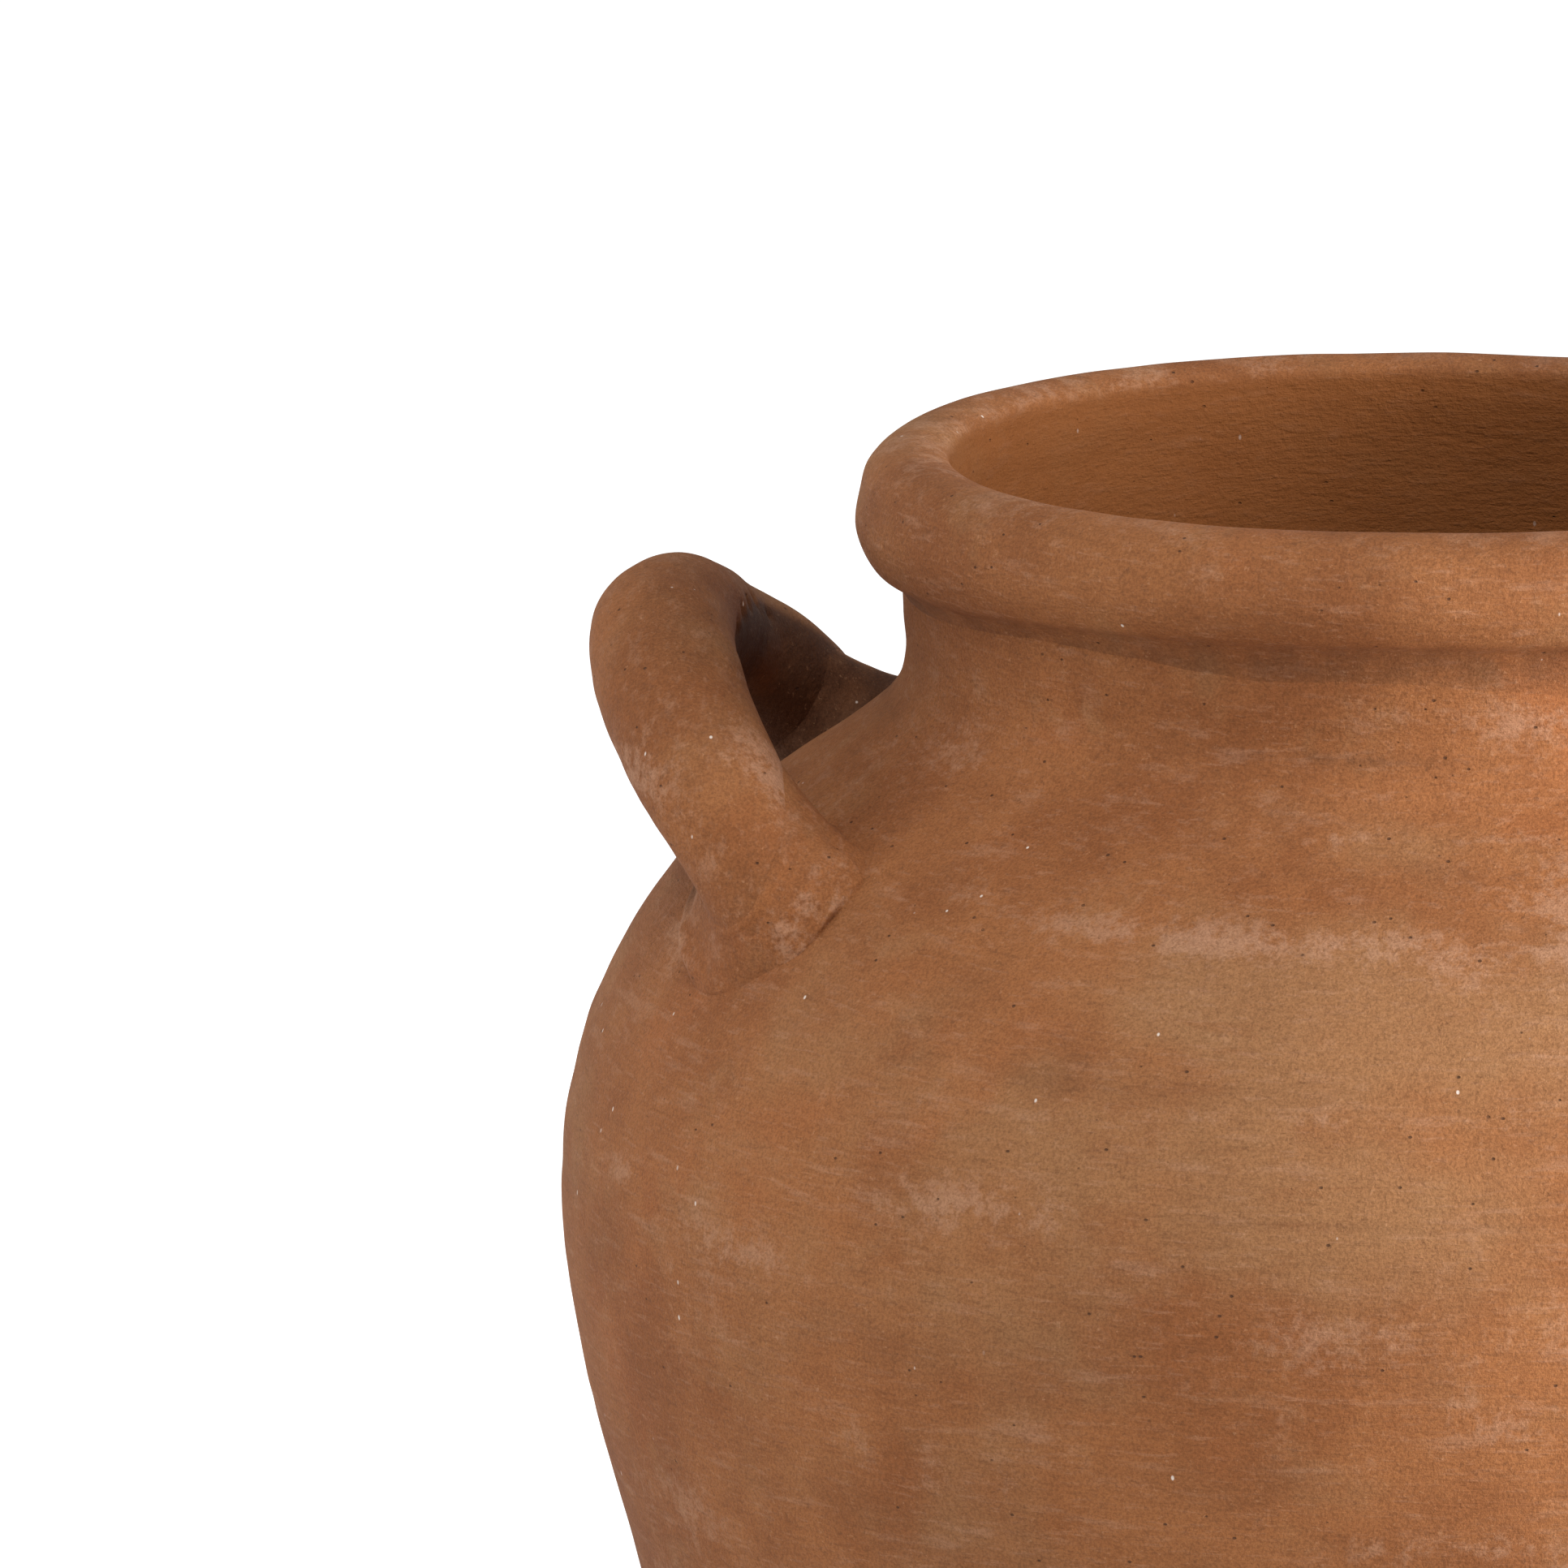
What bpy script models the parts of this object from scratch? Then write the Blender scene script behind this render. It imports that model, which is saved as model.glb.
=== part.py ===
"""A large hand-thrown clay jar with two loop handles on its shoulder, as separate pieces of clay.

The jar stands on the plane z = 0 with its axis on Z and its handles towards +X and -X.
Units are metres.
"""

from math import cos, pi, radians, sin

import bmesh
import bpy
import numpy as np
from mathutils import Matrix, Vector

# Overall sizes
HEIGHT = 0.560
SLAB_THICKNESS = 0.014
WALL_THICKNESS = 0.0115
NECK_THICKNESS = 0.0103
GAP = 0.0003  # clearance left between two pieces that touch

# Outer outline of the body as (height, radius), from the foot to the top of the neck
BODY_OUTLINE = (
    (0.000, 0.1070),
    (0.100, 0.1325),
    (0.200, 0.1612),
    (0.290, 0.1866),
    (0.340, 0.1998),
    (0.380, 0.2050),
    (0.420, 0.1976),
    (0.450, 0.1812),
    (0.470, 0.1622),
    (0.490, 0.1342),
    (0.503, 0.1226),
    (0.515, 0.1218),
    (0.545, 0.1218),
)
FOOT_FLARE = 0.22  # slope of the outline, radius over height, where it meets the floor
FOOT_ROUNDING = 0.004

# Rings that the wall is thrown in, each as its lowest and highest level and its number of rows of faces
LOWER_RING = (SLAB_THICKNESS, 0.215, 8)
BELLY_RING = (0.215, 0.400, 9)
SHOULDER_RING = (0.400, 0.497, 9)
NECK_RING = (0.497, 0.540, 4)

# The collar's visible face as (radius, depth under the crest), from its inner edge over the top to its underside
COLLAR_FACE = (
    (0.1115, 0.01985),
    (0.1117, 0.0080),
    (0.1130, 0.0022),
    (0.1180, 0.0000),
    (0.1304, 0.0040),
    (0.1336, 0.0120),
    (0.1344, 0.0200),
    (0.1304, 0.0290),
    (0.1223, 0.0350),
)

# Handles: each is half an ellipse of round clay that leans out from the shoulder
HANDLE_RADIUS = 0.0171
FOOT_SWELLING = 0.10  # share by which the section grows from the top of the loop to its feet
HANDLE_SPREAD = radians(32.2)  # angle round the jar from the middle of the loop to a foot
FOOT_RADIUS = 0.1647  # distance of a foot's centre from the jar's axis
FOOT_HEIGHT = 0.4577
LOOP_OUT = 0.0408
LOOP_UP = 0.0524
ROOT_ANGLE = radians(14)  # how far the ellipse runs on into the wall

# Luting clay: a flared skirt pressed round each foot, as (radius, height along the leg)
SKIRT = ((0.0196, 0.030), (0.0210, 0.023), (0.0242, 0.016), (0.0295, 0.009), (0.0380, 0.002))
SKIRT_ROOT = -0.030

# Fineness of the meshes
TURN_STEPS = 48
SKIRT_STEPS = 24
COLLAR_POINTS = 16
LOOP_POINTS = 19


def clear_scene():
    for obj in list(bpy.data.objects):
        bpy.data.objects.remove(obj)


def new_collection(name):
    collection = bpy.data.collections.new(name)
    bpy.context.scene.collection.children.link(collection)
    return collection


def clay(name, colour, roughness):
    material = bpy.data.materials.new(name)
    material.use_nodes = True
    shader = material.node_tree.nodes["Principled BSDF"]
    shader.inputs["Base Color"].default_value = (*colour, 1.0)
    shader.inputs["Roughness"].default_value = roughness
    shader.inputs["Metallic"].default_value = 0.0
    return material


def spline(knots, values, first_slope, last_slope):
    """A smooth curve through the values; it returns a function that gives the value and its slope."""
    x = np.asarray(knots, float)
    y = np.asarray(values, float)
    step = np.diff(x)
    rise = (np.diff(y, axis=0).T / step).T
    count = len(x)
    matrix = np.eye(count)
    right = np.zeros_like(y)
    right[0] = first_slope
    right[-1] = last_slope
    for i in range(1, count - 1):
        matrix[i, i - 1] = step[i]
        matrix[i, i] = 2 * (step[i - 1] + step[i])
        matrix[i, i + 1] = step[i - 1]
        right[i] = 3 * (step[i] * rise[i - 1] + step[i - 1] * rise[i])
    slopes = np.linalg.solve(matrix, right)

    def at(position):
        i = int(np.clip(np.searchsorted(x, position) - 1, 0, count - 2))
        t = (position - x[i]) / step[i]
        bend = slopes[i] + slopes[i + 1] - 2 * rise[i]
        lean = 3 * rise[i] - 2 * slopes[i] - slopes[i + 1]
        value = y[i] + step[i] * t * (slopes[i] + t * (lean + t * bend))
        slope = slopes[i] + t * (2 * lean + 3 * t * bend)
        return value, slope

    return at


BODY = spline([z for z, _ in BODY_OUTLINE], [r for _, r in BODY_OUTLINE], FOOT_FLARE, 0.0)


def wall_radius(height, depth):
    """Radius of the surface that lies this deep inside the wall, measured square to it."""
    radius, slope = BODY(height)
    return radius - depth * (1 + slope**2) ** 0.5


def ring_heights(ring):
    """Heights of a ring's rows of points, from its lowest to its highest, each end set back by half the gap."""
    low, high, rows = ring
    return np.linspace(low + GAP / 2, high - GAP / 2, rows + 1)


def new_object(name, data, material, collection, parent=None):
    obj = bpy.data.objects.new(name, data)
    collection.objects.link(obj)
    obj.parent = parent
    if material:
        data.materials.append(material)
    return obj


def turned(name, outline, closed, steps, material, collection, parent=None):
    """A solid of revolution. The outline is (radius, height) points and runs down its outer side."""
    mesh = bpy.data.meshes.new(name)
    corners = [(radius, 0.0, height) for radius, height in outline]
    edges = [(i, i + 1) for i in range(len(corners) - 1)]
    if closed:
        edges.append((len(corners) - 1, 0))
    mesh.from_pydata(corners, edges, [])
    obj = new_object(name, mesh, material, collection, parent)
    screw = obj.modifiers.new("Turn", "SCREW")
    screw.axis = "Z"
    screw.angle = 2 * pi
    screw.steps = steps
    screw.render_steps = steps
    screw.use_merge_vertices = True
    screw.merge_threshold = 0.00001
    screw.use_smooth_shade = True
    return obj


def make_base_slab(parts):
    """The thrown floor, a disc with a rounded bottom edge."""
    top = SLAB_THICKNESS
    turns = [radians(angle) for angle in (0, 30, 60, 90)]
    edge_radius = wall_radius(FOOT_ROUNDING, 0)
    edge = [
        (edge_radius - FOOT_ROUNDING * (1 - cos(turn)), FOOT_ROUNDING * (1 - sin(turn)))
        for turn in turns
    ]
    outline = [(0.0, top), (wall_radius(top, 0), top), *edge, (0.0, 0.0)]
    material = clay("base_clay", (0.36, 0.135, 0.062), 0.92)
    return turned("base_slab", outline, False, TURN_STEPS, material, parts)


def make_ring(name, ring, top_thickness, colour, parts):
    """A ring of the wall between two level seams. It is WALL_THICKNESS thick at its lower seam."""
    levels = ring_heights(ring)
    depths = np.linspace(WALL_THICKNESS, top_thickness, len(levels))
    outside = [(wall_radius(z, 0), z) for z in levels[::-1]]
    inside = [(wall_radius(z, depth), z) for z, depth in zip(levels, depths)]
    material = clay(f"{name}_clay", colour, 0.9)
    return turned(name, outside + inside, True, TURN_STEPS, material, parts)


def make_collar(parts):
    """The rolled rim, which sits on the neck's top edge and laps over its outside."""
    stations = np.array([(radius, HEIGHT - depth) for radius, depth in COLLAR_FACE])
    lengths = np.r_[0, np.cumsum(np.hypot(*np.diff(stations, axis=0).T))]
    face = spline(lengths, stations, (0.0, 1.0), (-0.6, -0.6))
    visible = np.array([face(s)[0] for s in np.linspace(0, lengths[-1], COLLAR_POINTS)])
    visible[:, 1] += HEIGHT - visible[:, 1].max()
    neck_top = NECK_RING[1]
    lap = wall_radius(neck_top, -GAP)
    outline = [*visible, (lap, visible[-1][1]), (lap, neck_top + GAP / 2)]
    material = clay("collar_clay", (0.39, 0.155, 0.075), 0.88)
    return turned("rim_collar", outline, True, TURN_STEPS, material, parts)


def loop_point(angle):
    """Centre of a handle's section at this angle round its ellipse, for the handle at +X."""
    along = FOOT_RADIUS * sin(HANDLE_SPREAD) * cos(angle)
    lift = sin(angle)
    out = FOOT_RADIUS * cos(HANDLE_SPREAD) + LOOP_OUT * lift
    return Vector((out, along, FOOT_HEIGHT + LOOP_UP * lift))


def make_loop(name, clearance, material, collection, parent):
    """A handle's full loop, roots included, grown by the clearance."""
    curve = bpy.data.curves.new(name, "CURVE")
    curve.dimensions = "3D"
    curve.bevel_depth = HANDLE_RADIUS + clearance
    curve.bevel_resolution = 6
    curve.use_fill_caps = True
    angles = np.linspace(-ROOT_ANGLE, pi + ROOT_ANGLE, LOOP_POINTS)
    path = curve.splines.new("POLY")
    path.points.add(LOOP_POINTS - 1)
    for point, angle in zip(path.points, angles):
        point.co = (*loop_point(angle), 1.0)
        point.radius = 1 + FOOT_SWELLING * cos(angle) ** 2
    tube = new_object(f"{name}_curve", curve, None, collection, parent)
    bpy.context.view_layer.update()
    evaluated = tube.evaluated_get(bpy.context.evaluated_depsgraph_get())
    mesh = bpy.data.meshes.new_from_object(evaluated)
    mesh.name = name
    welded = bmesh.new()
    welded.from_mesh(mesh)
    bmesh.ops.remove_doubles(welded, verts=welded.verts, dist=0.00001)
    bmesh.ops.recalc_face_normals(welded, faces=welded.faces)
    welded.to_mesh(mesh)
    welded.free()
    mesh.shade_smooth()
    loop = new_object(name, mesh, material, collection, parent)
    bpy.data.objects.remove(tube)
    return loop


def cut_away(obj, cutter):
    cut = obj.modifiers.new(f"Fit to {cutter.name}", "BOOLEAN")
    cut.operation = "DIFFERENCE"
    cut.object = cutter


def as_cutter(obj):
    obj.hide_render = True
    obj.display_type = "WIRE"
    return obj


def make_body_cutter(cutters):
    """The body's outer surface grown by the gap, as a solid plug from the belly to the top of the neck."""
    levels = np.concatenate([ring_heights(ring) for ring in (BELLY_RING, SHOULDER_RING, NECK_RING)])[::-1]
    skin = [(wall_radius(z, -GAP), z) for z in levels]
    outline = [(0.0, levels[0]), *skin, (0.0, levels[-1])]
    return as_cutter(turned("body_cutter", outline, False, TURN_STEPS, None, cutters))


def make_skirt(name, end, colour, parts, side):
    """The luting clay round one foot; end is 0 for the foot at +Y of the handle's frame, pi for the other."""
    centre = loop_point(end)
    leg = Vector((LOOP_OUT, 0.0, LOOP_UP)).normalized()
    outline = [(0.0, SKIRT[0][1]), *SKIRT, (SKIRT[-1][0], SKIRT_ROOT), (0.0, SKIRT_ROOT)]
    material = clay(f"{name}_clay", colour, 0.93)
    skirt = turned(name, outline, False, SKIRT_STEPS, material, parts, side)
    skirt.matrix_local = Matrix.Translation(centre) @ leg.to_track_quat("Z", "Y").to_matrix().to_4x4()
    return skirt


def make_handle_group(side_name, turn, end_names, body_cutter, parts, cutters):
    """One handle and the luting clay at its two feet, turned about the jar's axis into place."""
    side = bpy.data.objects.new(f"{side_name}_side", None)
    parts.objects.link(side)
    side.rotation_euler.z = turn
    material = clay(f"{side_name}_handle_clay", (0.35, 0.128, 0.058), 0.88)
    handle = make_loop(f"{side_name}_handle", 0.0, material, parts, side)
    cut_away(handle, body_cutter)
    loop_cutter = as_cutter(make_loop(f"{side_name}_loop_cutter", GAP, None, cutters, side))
    for end, end_name in zip((0.0, pi), end_names):
        skirt = make_skirt(f"{side_name}_{end_name}_luting", end, (0.40, 0.160, 0.078), parts, side)
        cut_away(skirt, body_cutter)
        cut_away(skirt, loop_cutter)


def main():
    clear_scene()
    parts = new_collection("amphora")
    cutters = new_collection("cutters")
    make_base_slab(parts)
    make_ring("lower_wall", LOWER_RING, WALL_THICKNESS, (0.36, 0.137, 0.064), parts)
    make_ring("belly_wall", BELLY_RING, WALL_THICKNESS, (0.37, 0.140, 0.066), parts)
    make_ring("shoulder_wall", SHOULDER_RING, WALL_THICKNESS, (0.36, 0.135, 0.060), parts)
    make_ring("neck", NECK_RING, NECK_THICKNESS, (0.37, 0.142, 0.066), parts)
    make_collar(parts)
    body_cutter = make_body_cutter(cutters)
    make_handle_group("right", 0.0, ("back", "front"), body_cutter, parts, cutters)
    make_handle_group("left", pi, ("front", "back"), body_cutter, parts, cutters)


main()
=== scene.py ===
"""The finished looks of a large hand-thrown clay jar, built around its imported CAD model. Metres, +Z up."""

from math import cos, pi, radians, sin

import bpy
import numpy as np
from mathutils import Matrix, Vector


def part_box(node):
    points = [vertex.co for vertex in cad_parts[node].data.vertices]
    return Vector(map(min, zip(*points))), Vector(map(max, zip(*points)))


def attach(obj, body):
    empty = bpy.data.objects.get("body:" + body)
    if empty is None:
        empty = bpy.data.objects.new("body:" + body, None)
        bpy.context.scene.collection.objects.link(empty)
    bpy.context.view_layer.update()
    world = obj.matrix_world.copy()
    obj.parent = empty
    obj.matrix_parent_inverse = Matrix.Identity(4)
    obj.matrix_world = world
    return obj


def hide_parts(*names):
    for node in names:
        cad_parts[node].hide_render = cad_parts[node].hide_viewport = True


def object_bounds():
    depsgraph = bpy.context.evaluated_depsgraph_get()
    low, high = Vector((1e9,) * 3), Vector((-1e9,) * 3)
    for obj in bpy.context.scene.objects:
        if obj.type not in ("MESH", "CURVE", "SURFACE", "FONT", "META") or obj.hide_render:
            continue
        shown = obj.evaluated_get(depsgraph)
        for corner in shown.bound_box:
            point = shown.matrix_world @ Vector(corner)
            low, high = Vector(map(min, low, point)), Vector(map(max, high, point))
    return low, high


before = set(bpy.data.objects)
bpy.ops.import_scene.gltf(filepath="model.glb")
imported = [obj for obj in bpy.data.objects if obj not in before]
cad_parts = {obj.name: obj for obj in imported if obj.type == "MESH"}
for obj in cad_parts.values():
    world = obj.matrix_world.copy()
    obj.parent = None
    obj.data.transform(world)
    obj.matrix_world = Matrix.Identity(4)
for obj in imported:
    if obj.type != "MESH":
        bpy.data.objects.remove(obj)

CAD_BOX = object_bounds()
TOP = CAD_BOX[1][2]

# Fineness of the meshes
COLUMNS = 640
OUTER_ROW = 0.0018
INNER_ROW = 0.0060
COLLAR_ROW = 0.0011
HANDLE_COLUMNS = 150
HANDLE_ROWS = 300
LUTING_COLUMNS = 300
LUTING_ROWS = 64
ROW_SPACING = 0.002  # rows of the CAD wall nearer than this, as at a seam, count as one
THINNEST_WALL = 0.005  # a row of the CAD wall thinner than this has points on its outside only

# The collar's face as (radius, depth under the crest), from its bore over the lip and down to the neck
COLLAR_FACE = (
    (0.1115, 0.0200),
    (0.1117, 0.0080),
    (0.1130, 0.0022),
    (0.1180, 0.0000),
    (0.1290, 0.0028),
    (0.1316, 0.0056),
    (0.1336, 0.0120),
    (0.1344, 0.0200),
    (0.1304, 0.0290),
    (0.1250, 0.0330),
    (0.1224, 0.0375),
    (0.1214, 0.0430),
)
CREST_STATION = 3
COLLAR_SINK = 0.0006  # how far the collar's hidden side lies inside the neck
RIM_TILT = 0.0010  # the rim is lower by this much at the left and the back
SKIRT_HIGH = 0.0072  # rise of the collar's underside at the front

FOOT_ROUNDING = 0.004  # radius of the slab's worn bottom edge

# Seeds of the wall's unevenness on its two faces
OUTER_SEED = 10
INNER_SEED = 40

# The handles' ellipse, as in the CAD model
LOOP_CENTRE = (0.13936, 0.4577)  # distance from the axis, height
LOOP_HALF_SPAN = 0.08776
LOOP_OUT = 0.0408
LOOP_UP = 0.0524
HANDLE_RADIUS = 0.0171
FOOT_SWELLING = 0.01
FIRST_LEG_SHIFT = 0.0030  # each loop's first leg stands this much farther down and out than its ellipse
HANDLE_SINK = 0.0030  # how deep a handle's feet go into the wall

# Strength of the painted shade on the inner side of the loops, and of the pale bloom on handles and luting
LOOP_SHADE = 1.8
HANDLE_BLOOM = 1.32
LUTING_BLOOM = 1.2

# Thumb marks on the handles: (angle round the loop, turn round the section, half width, depth)
HANDLE_DENTS = (
    (52, 62, 0.009, 0.0011),
    (84, -8, 0.015, -0.0013),
    (20, 280, 0.024, 0.0024),
    (130, 90, 0.020, 0.0030),
    (96, 150, 0.010, 0.0010),
    (18, 95, 0.016, 0.0012),
    (118, 20, 0.012, 0.0008),
    (134, 140, 0.008, 0.0009),
    (99, 128, 0.0026, 0.0013),
    (105, 116, 0.0022, 0.0015),
    (112, 108, 0.0021, 0.0016),
    (120, 98, 0.0026, 0.0014),
    (128, 104, 0.0022, 0.0012),
)

# Reach of the luting clay over the wall beyond each leg: turn round the leg in degrees to metres
REACHES = {
    "left_front": {
        0: 0.0036, 36: 0.0048, 55: 0.0072, 80: 0.0066, 110: 0.0056, 136: 0.0090, 164: 0.0160,
        190: 0.0230, 213: 0.0310, 230: 0.0245, 262: 0.0155, 280: 0.0108, 304: 0.0056, 331: 0.0030,
    },
    "left_back": {
        0: 0.0120, 40: 0.0140, 80: 0.0160, 110: 0.0150,
        160: 0.0090, 215: 0.0060, 270: 0.0070, 325: 0.0110,
    },
    "right_front": {
        0: 0.0130, 30: 0.0120, 75: 0.0150, 120: 0.0110,
        180: 0.0070, 235: 0.0050, 290: 0.0090, 325: 0.0120,
    },
    "right_back": {
        0: 0.0110, 45: 0.0120, 85: 0.0140, 130: 0.0100,
        185: 0.0070, 245: 0.0060, 295: 0.0080, 330: 0.0110,
    },
}
# Rise of the same clay up each leg, as an angle round the loop in radians
RISES = {
    "left_front": {
        0: 0.20, 40: 0.26, 75: 0.36, 110: 0.46, 140: 0.46,
        170: 0.34, 200: 0.30, 235: 0.30, 270: 0.22, 310: 0.16,
    },
    "left_back": {0: 0.16, 45: 0.28, 80: 0.40, 110: 0.42, 150: 0.30, 200: 0.18, 260: 0.10, 320: 0.12},
    "right_front": {0: 0.16, 40: 0.24, 75: 0.34, 105: 0.36, 140: 0.28, 190: 0.18, 250: 0.12, 310: 0.12},
    "right_back": {0: 0.18, 40: 0.22, 75: 0.30, 105: 0.36, 140: 0.30, 190: 0.20, 250: 0.12, 310: 0.10},
}
# How full that clay is: 0 hugs the corner and 1 fills it straight from the leg to the wall's surface
FULLNESS = {
    "front": {
        0: 0.95, 36: 0.90, 58: 0.60, 85: 0.45, 110: 0.45, 140: 0.50,
        175: 0.40, 210: 0.75, 250: 0.95, 282: 1.00, 310: 1.00, 335: 1.00,
    },
    "back": {
        0: 0.40, 45: 0.40, 80: 0.30, 110: 0.30, 140: 0.30, 175: 0.25,
        210: 0.15, 250: 0.25, 285: 0.40, 315: 0.50, 340: 0.45,
    },
}

# Where round a leg, as a turn in degrees, the luting clay has flaked, is drawn to a welt or has a bead
FLAKED_TURN = 24
WELT_TURN = 233
BEAD_TURN = 350

# Pale bloom, with painted highlights on the neck and down the lit right side, dark wiping marks and ochre
# clouds, each as
# (azimuth in degrees, height, half width in degrees, half height, strength)
BLOOMS_AND_HIGHLIGHTS = (
    (-101, 0.4705, 24, 0.0042, 1.0),
    (-80, 0.4690, 18, 0.0050, 0.9),
    (-92, 0.4900, 22, 0.0016, 0.7),
    (-84, 0.4660, 16, 0.0110, 0.5),
    (-118, 0.4100, 9, 0.0070, 0.8),
    (-155, 0.3980, 6, 0.0030, 0.9),
    (-139, 0.3900, 8, 0.0060, 0.7),
    (-143, 0.3800, 7, 0.0050, 0.6),
    (-146, 0.3720, 10, 0.0060, 0.5),
    (-90, 0.3850, 12, 0.0120, 0.6),
    (-86, 0.3650, 12, 0.0100, 0.5),
    (-84, 0.3370, 10, 0.0040, 0.8),
    (-122, 0.3480, 8, 0.0080, 0.4),
    (-150, 0.3200, 16, 0.0120, 0.6),
    (-134, 0.3520, 12, 0.0100, 0.3),
    (-120, 0.4300, 24, 0.0070, 0.35),
    (-94, 0.4350, 24, 0.0013, 0.9),
    # painted highlight on the neck
    (-84, 0.5150, 12, 0.0060, 0.5),
    (-140, 0.5120, 9, 0.0050, 0.4),
    # painted highlights down the right side, where the key light falls
    (-72, 0.5150, 12, 0.0090, 0.8),
    (-70, 0.4780, 13, 0.0100, 0.8),
    (-72, 0.4350, 9, 0.0160, 0.5),
    (-72, 0.3900, 8, 0.0200, 0.5),
    (-74, 0.3200, 9, 0.0240, 0.5),
)
SMUDGES = (
    (-98, 0.5060, 14, 0.0016, 0.8),
    (-84, 0.4835, 24, 0.0008, 0.7),
    (-95, 0.4120, 15, 0.0006, 0.9),
    (-112, 0.4400, 18, 0.0030, 0.4),
    (-101, 0.3500, 8, 0.0060, 0.4),
    (-120, 0.3750, 22, 0.0120, 0.3),
    (-100, 0.3300, 30, 0.0100, 0.2),
    (105.5, 0.5450, 0.8, 0.0090, 0.9),
    (107.8, 0.5430, 0.7, 0.0080, 0.6),
    (92.0, 0.5440, 0.8, 0.0100, 0.7),
    (100, 0.5340, 22, 0.0030, 0.6),
)
OCHRES = (
    (-122, 0.4330, 26, 0.0300, 1.0),
    (-98, 0.4550, 26, 0.0160, 0.9),
    (-100, 0.4150, 16, 0.0160, 0.7),
    (-140, 0.3950, 16, 0.0300, 0.6),
    (-84, 0.4900, 16, 0.0080, 0.7),
)

# Camera
CAMERA_AZIMUTH = radians(2.3)
CAMERA_DISTANCE = 5.0
CAMERA_RISE = 0.927  # above the rim
CAMERA_LENS = 492.3
AIM_LEFT = 0.1515  # the point looked at lies this far to the left of the axis
AIM_HEIGHT = 0.4752

# Strength of the floor's glow at the jar and far from it, and where the one turns into the other
GLOW_NEAR = 0.14
GLOW_FAR = 0.80
GLOW_STARTS = 0.5
GLOW_ENDS = 1.6


# ---------------------------------------------------------------- small tools


def smooth(value, low, high):
    """0 below low, 1 above high, and a smooth step between."""
    t = np.clip((value - low) / (high - low), 0.0, 1.0)
    return t * t * (3 - 2 * t)


def noise(points, cell, seed):
    """Smooth noise from -1 to 1 at each point, with bumps about a cell across."""
    size = 32
    lattice = np.random.default_rng(seed).uniform(-1, 1, (size, size, size))
    place = np.asarray(points, float) / cell
    corner = np.floor(place).astype(int)
    part = place - corner
    part = part * part * (3 - 2 * part)
    total = 0.0
    for dx in (0, 1):
        for dy in (0, 1):
            for dz in (0, 1):
                weight = 1.0
                for axis, step in enumerate((dx, dy, dz)):
                    weight = weight * (part[..., axis] if step else 1 - part[..., axis])
                i, j, k = ((corner + (dx, dy, dz)) % size).transpose(-1, *range(corner.ndim - 1))
                total = total + weight * lattice[i, j, k]
    return total


def layered(points, cell, seed, layers=3):
    """Noise with finer and weaker layers added."""
    total = sum(noise(points, cell / 2**i, seed + i) / 2**i for i in range(layers))
    return total / (2 - 0.5 ** (layers - 1))


def spline(knots, values):
    """A function that gives a smooth curve through the values at the knots."""
    x = np.asarray(knots, float)
    y = np.asarray(values, float)
    tangents = np.gradient(y, x, axis=0)

    def at(position):
        position = np.asarray(position, float)
        i = np.clip(np.searchsorted(x, position) - 1, 0, len(x) - 2)
        step = x[i + 1] - x[i]
        t = (position - x[i]) / step
        if y.ndim == 2:
            step, t = step[..., None], t[..., None]
        rise = (y[i + 1] - y[i]) / step
        bend = tangents[i] + tangents[i + 1] - 2 * rise
        lean = 3 * rise - 2 * tangents[i] - tangents[i + 1]
        return y[i] + step * t * (tangents[i] + t * (lean + t * bend))

    return at


def grid_normals(grid):
    """Unit normals over a grid whose columns go all the way round, on the side its faces look to."""
    across = np.roll(grid, -1, axis=1) - np.roll(grid, 1, axis=1)
    normal = np.cross(np.gradient(grid, axis=0), across)
    return normal / np.linalg.norm(normal, axis=-1)[..., None]


def grid_object(name, grid, closed_rows, marks, flip=False):
    """A closed mesh over a grid of points whose columns go all the way round.

    The rows close on themselves, or each end is closed by a fan round its middle. marks holds
    the mesh's float attributes by name, and flip turns the faces round.
    """
    rows, columns = grid.shape[:2]
    points = grid.reshape(-1, 3)
    first = np.arange(rows if closed_rows else rows - 1)[:, None]
    side = np.arange(columns)[None, :]
    next_row = (first + 1) % rows
    next_side = (side + 1) % columns
    corners = [first * columns + side, next_row * columns + side]
    corners += [next_row * columns + next_side, first * columns + next_side]
    faces = np.stack(np.broadcast_arrays(*corners), -1).reshape(-1, 4).tolist()
    marks = {key: value.reshape(-1) for key, value in marks.items()}
    if not closed_rows:
        around = np.arange(columns)
        for row, turned in ((0, False), (rows - 1, True)):
            hub = len(points)
            points = np.vstack([points, grid[row].mean(0)])
            ring = row * columns + around
            after = row * columns + (around + 1) % columns
            ends = (after, ring) if turned else (ring, after)
            faces += np.stack([np.full(columns, hub), *ends], -1).tolist()
            marks = {key: np.append(value, value[ring].mean()) for key, value in marks.items()}
    if flip:
        faces = [face[::-1] for face in faces]
    mesh = bpy.data.meshes.new(name)
    mesh.from_pydata(points.tolist(), [], faces)
    for key, value in marks.items():
        mesh.attributes.new(key, "FLOAT", "POINT").data.foreach_set("value", value.astype(np.float32))
    mesh.shade_smooth()
    mesh.set_sharp_from_angle(angle=radians(50))
    obj = bpy.data.objects.new(name, mesh)
    bpy.context.scene.collection.objects.link(obj)
    return obj


# ---------------------------------------------------------------- the wall's shape


def cad_rows(node):
    """Heights of a turned CAD node's rows of points, with its largest and smallest radius at each."""
    points = np.array([vertex.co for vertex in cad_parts[node].data.vertices])
    heights = np.unique(np.round(points[:, 2], 5))
    radii = np.hypot(points[:, 0], points[:, 1])
    rows = []
    for height in heights:
        level = radii[np.abs(points[:, 2] - height) < 2e-5]
        rows.append((height, level.max(), level.min()))
    return np.array(rows)


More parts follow.
